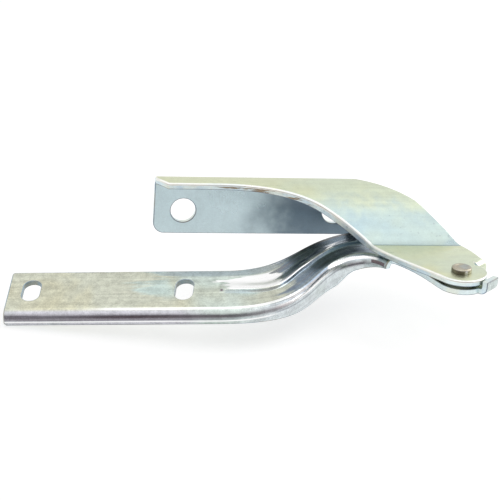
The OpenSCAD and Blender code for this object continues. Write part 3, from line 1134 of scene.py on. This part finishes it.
def bracket_painted_light_and_specks(n, place):
    """A straw-coloured lip and tab with the slope painted bluish as a reflection, and a flange face painted
    into steel-blue shade to the right.
    """
    x, y, z = n.parts(place)
    flange = n.times(n.ramp(z, 0.0165, 0.0135), n.ramp(y, -0.0068, -0.0045))
    blur = n.noise(place, 60.0, 3.0, 0.6)
    cloudy = n.math("ADD", y, n.ramp(blur, 0.3, 0.7, -0.005, 0.005))
    # The slope is painted bluish as a reflection, bluer low down to the right.
    slope = n.times(n.ramp(cloudy, -0.018, -0.038), n.ramp(y, -0.0512, -0.0503))
    right = n.ramp(n.math("ADD", x, n.ramp(blur, 0.3, 0.7, -0.008, 0.008)), -0.016, 0.026)
    low = n.times(slope, n.ramp(x, 0.06, 0.09, 0.0, 0.5))
    tone = n.blend(slope, (0.75, 0.79, 0.56, 1), (0.60, 0.735, 0.72, 1))
    tone = n.blend(low, tone, (0.52, 0.66, 0.72, 1))
    tone = n.blend(n.ramp(y, -0.0503, -0.0512), tone, (0.77, 0.83, 0.62, 1))
    # The flange face turns to painted dark steel-blue shade to the right, under the overhanging plate.
    face = n.blend(right, (0.69, 0.83, 0.87, 1), (0.18, 0.24, 0.29, 1))
    # A painted shade line along the bend at the slope's foot.
    painted_crease_shade = n.band(y, -0.0509, -0.0505, 0.0004)
    # Real dark specks on the slope.
    specks = n.times(slope, n.ramp(n.noise(place, 420.0, 2.0, 0.5), 0.66, 0.72, 0.0, 0.35))
    return {
        "Pale": n.blend(flange, tone, face),
        "Warm tint": n.blend(flange, n.blend(slope, (0.76, 0.78, 0.52, 1), (0.64, 0.755, 0.69, 1)), face),
        "Cool tint": n.blend(flange, n.blend(slope, (0.72, 0.79, 0.62, 1), (0.53, 0.68, 0.73, 1)), face),
        "Worked": n.math("MAXIMUM", n.times(painted_crease_shade, 0.7), specks),
    }


def seen_directly(n):
    """1 for the camera and for what glossy or clear surfaces show, 0 for light on dull ones."""
    path = n.add("ShaderNodeLightPath").outputs
    either = n.math("MAXIMUM", path["Is Camera Ray"], path["Is Glossy Ray"])
    return n.math("MAXIMUM", either, path["Is Transmission Ray"])


# The studio: its floor lies just under the part.
floor_gap = 0.0005
floor_half = 3.0
floor_grey = (0.52, 0.52, 0.52, 1)
floor_glow = 0.66
room_seen = (0.96, 0.96, 0.96, 1)
room_light = (0.52, 0.52, 0.52, 1)
dim_seen = (0.36, 0.32, 0.335, 1)
dim_light = (0.22, 0.22, 0.22, 1)


def studio_floor():
    """A pale floor. Seen directly it is nearly white, and it keeps the shadow."""
    level, half = solid_box[0].z - floor_gap, floor_half
    mesh = bpy.data.meshes.new("studio_floor")
    corners = [(-half, -half, level), (half, -half, level), (half, half, level), (-half, half, level)]
    mesh.from_pydata(corners, [], [(0, 1, 2, 3)])
    finish = bpy.data.materials.new("floor_paper")
    n = fresh_nodes(finish)
    paper = n.add("ShaderNodeBsdfDiffuse", {"Color": floor_grey})
    glow = n.add("ShaderNodeEmission", {"Strength": n.times(seen_directly(n), floor_glow)})
    both = n.add("ShaderNodeAddShader", {0: paper.outputs[0], 1: glow.outputs[0]})
    n.add("ShaderNodeOutputMaterial", {"Surface": both.outputs[0]})
    mesh.materials.append(finish)
    linked("studio_floor", mesh)


def studio_world():
    """A soft white room, dim and brown low down in front of the part, where the camera stands."""
    world = bpy.data.worlds.new("studio")
    n = fresh_nodes(world)
    _, y, z = n.parts(n.add("ShaderNodeTexCoord").outputs["Generated"])
    dim = n.times(n.ramp(z, 0.30, 0.85, 1.0, 0.0), n.ramp(y, 0.1, -0.5, 0.0, 1.0))
    shown = n.blend(dim, room_seen, dim_seen)
    lit = n.blend(dim, room_light, dim_light)
    background = n.add("ShaderNodeBackground", {"Color": n.blend(seen_directly(n), lit, shown)})
    n.add("ShaderNodeOutputWorld", {"Surface": background.outputs[0]})
    bpy.context.scene.world = world


studio_aim = Vector((0.0, -0.05, 0.0))


def softbox(name, at, size, power):
    """A lamp as a large rectangle, aimed at the part."""
    light = bpy.data.lights.new(name, "AREA")
    light.shape = "RECTANGLE"
    light.size, light.size_y = size
    light.energy = power
    lamp = linked(name, light)
    lamp.location = at
    lamp.rotation_euler = (studio_aim - Vector(at)).to_track_quat("-Z", "Y").to_euler()


# Camera: long lens, from the front and a little to the left, fitted to the photograph.
view_rise = radians(22.2)
view_turn = radians(-9.7)
view_roll = radians(4.1)
frame_px = 500.0
focal_px = 2000.0
px_per_mm = 1.94
pivot_px = (461.5, 271.0)
film_mm = 36.0


def studio_camera():
    back = Vector((
        sin(view_turn) * cos(view_rise),
        -cos(view_turn) * cos(view_rise),
        sin(view_rise),
    ))
    right = xy(cos(view_turn), sin(view_turn))
    upward = back.cross(right)
    side = cos(view_roll) * right + sin(view_roll) * upward
    top = -sin(view_roll) * right + cos(view_roll) * upward
    distance = focal_px / px_per_mm
    shift_x = (pivot_px[0] - frame_px / 2) / px_per_mm
    shift_y = (frame_px / 2 - pivot_px[1]) / px_per_mm
    place = pivot + distance * back - shift_x * side - shift_y * top
    data = bpy.data.cameras.new("camera")
    data.sensor_width = film_mm
    data.lens = film_mm * focal_px / frame_px
    data.clip_start = 0.05
    camera = linked("camera", data)
    turn = Matrix((side, top, back)).transposed().to_4x4()
    camera.matrix_world = Matrix.Translation(place * MM) @ turn
    bpy.context.scene.camera = camera


def finishes():
    """The plated finishes of this hinge, by name. Tones are pale, warm, cool and the tone of painted shade
    and marks.

    Each row of the table has the tones, the clouds' scale, the contrast, the bump and the painted light and
    marks.
    """
    group = plating_group()
    arm = [(0.65, 0.67, 0.56), (0.67, 0.65, 0.48), (0.62, 0.71, 0.66), (0.20, 0.24, 0.30)]
    bracket = [(0.75, 0.80, 0.60), (0.77, 0.80, 0.56), (0.70, 0.80, 0.72), (0.30, 0.36, 0.40)]
    edge = [(0.80, 0.92, 0.93), (0.84, 0.90, 0.82), (0.66, 0.80, 0.88), (0.30, 0.24, 0.17)]
    # The arm's slot walls are painted dark as shade inside the slots.
    wall = [(0.26, 0.34, 0.37), (0.34, 0.36, 0.32), (0.18, 0.27, 0.33), (0.14, 0.16, 0.18)]
    # The lower corner of each cut edge gets a painted dark reflection.
    corner = [(0.26, 0.30, 0.36), (0.34, 0.33, 0.30), (0.20, 0.27, 0.36), (0.14, 0.16, 0.18)]
    # The arm's rolled edges are painted darker as a dark reflection.
    painted_dark_roll = [(0.42, 0.49, 0.53), (0.46, 0.43, 0.36), (0.30, 0.42, 0.50), (0.20, 0.24, 0.30)]
    # The bracket's rolled edge is painted near white as a highlight.
    rolled = [(1.0, 1.0, 0.94), (1.0, 1.0, 0.90), (0.92, 0.98, 0.96), (0.60, 0.62, 0.60)]
    # The rivet's last tone is the colour of its painted shade.
    rivet = [(0.53, 0.50, 0.40), (0.48, 0.43, 0.33), (0.44, 0.46, 0.43), (0.16, 0.14, 0.11)]
    washer = [(0.30, 0.32, 0.34), (0.26, 0.25, 0.24), (0.22, 0.27, 0.32), (0.16, 0.18, 0.20)]
    table = (
        ("arm_zinc", arm, 24.0, 0.17, 0.25, arm_painted_reflections),
        ("bracket_zinc", bracket, 30.0, 0.05, 0.12, bracket_painted_light_and_specks),
        ("arm_roll", painted_dark_roll, 60.0, 0.10, 0.3),
        ("rolled_edge", rolled, 60.0, 0.04, 0.3),
        ("sheared_edge", edge, 120.0, 0.06, 0.5, edge_marks),
        ("slot_wall", wall, 120.0, 0.10, 0.5),
        ("edge_corner", corner, 120.0, 0.10, 0.5),
        ("rivet_zinc", rivet, 220.0, 0.06, 0.4, rivet_painted_light),
        ("washer_steel", washer, 160.0, 0.06, 0.4),
    )
    return {name: plated(name, group, *row) for name, *row in table}


def dress():
    """The visible pieces over their solids."""
    finish = finishes()
    edges = (finish["sheared_edge"], finish["edge_corner"])
    arm = arm_piece(finish["arm_zinc"], finish["arm_roll"], *edges, finish["slot_wall"])
    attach(arm, "arm")
    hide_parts("arm")
    bracket = bracket_piece(finish["bracket_zinc"], finish["rolled_edge"], *edges, finish["sheared_edge"])
    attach(bracket, "bracket")
    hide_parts("bracket")
    rivet = rivet_piece(finish["rivet_zinc"])
    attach(rivet, "arm")
    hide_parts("rivet")
    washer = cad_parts["spacer_washer"]
    washer.data.materials.clear()
    washer.data.materials.append(finish["washer_steel"])


dress()
studio_floor()
studio_world()
softbox("key_softbox", (-0.4, -0.35, 1.3), (2.0, 1.8), 5.0)
softbox("side_softbox", (0.9, 0.2, 0.7), (1.0, 0.8), 5.0)
studio_camera()
bpy.context.scene.view_settings.view_transform = "Standard"
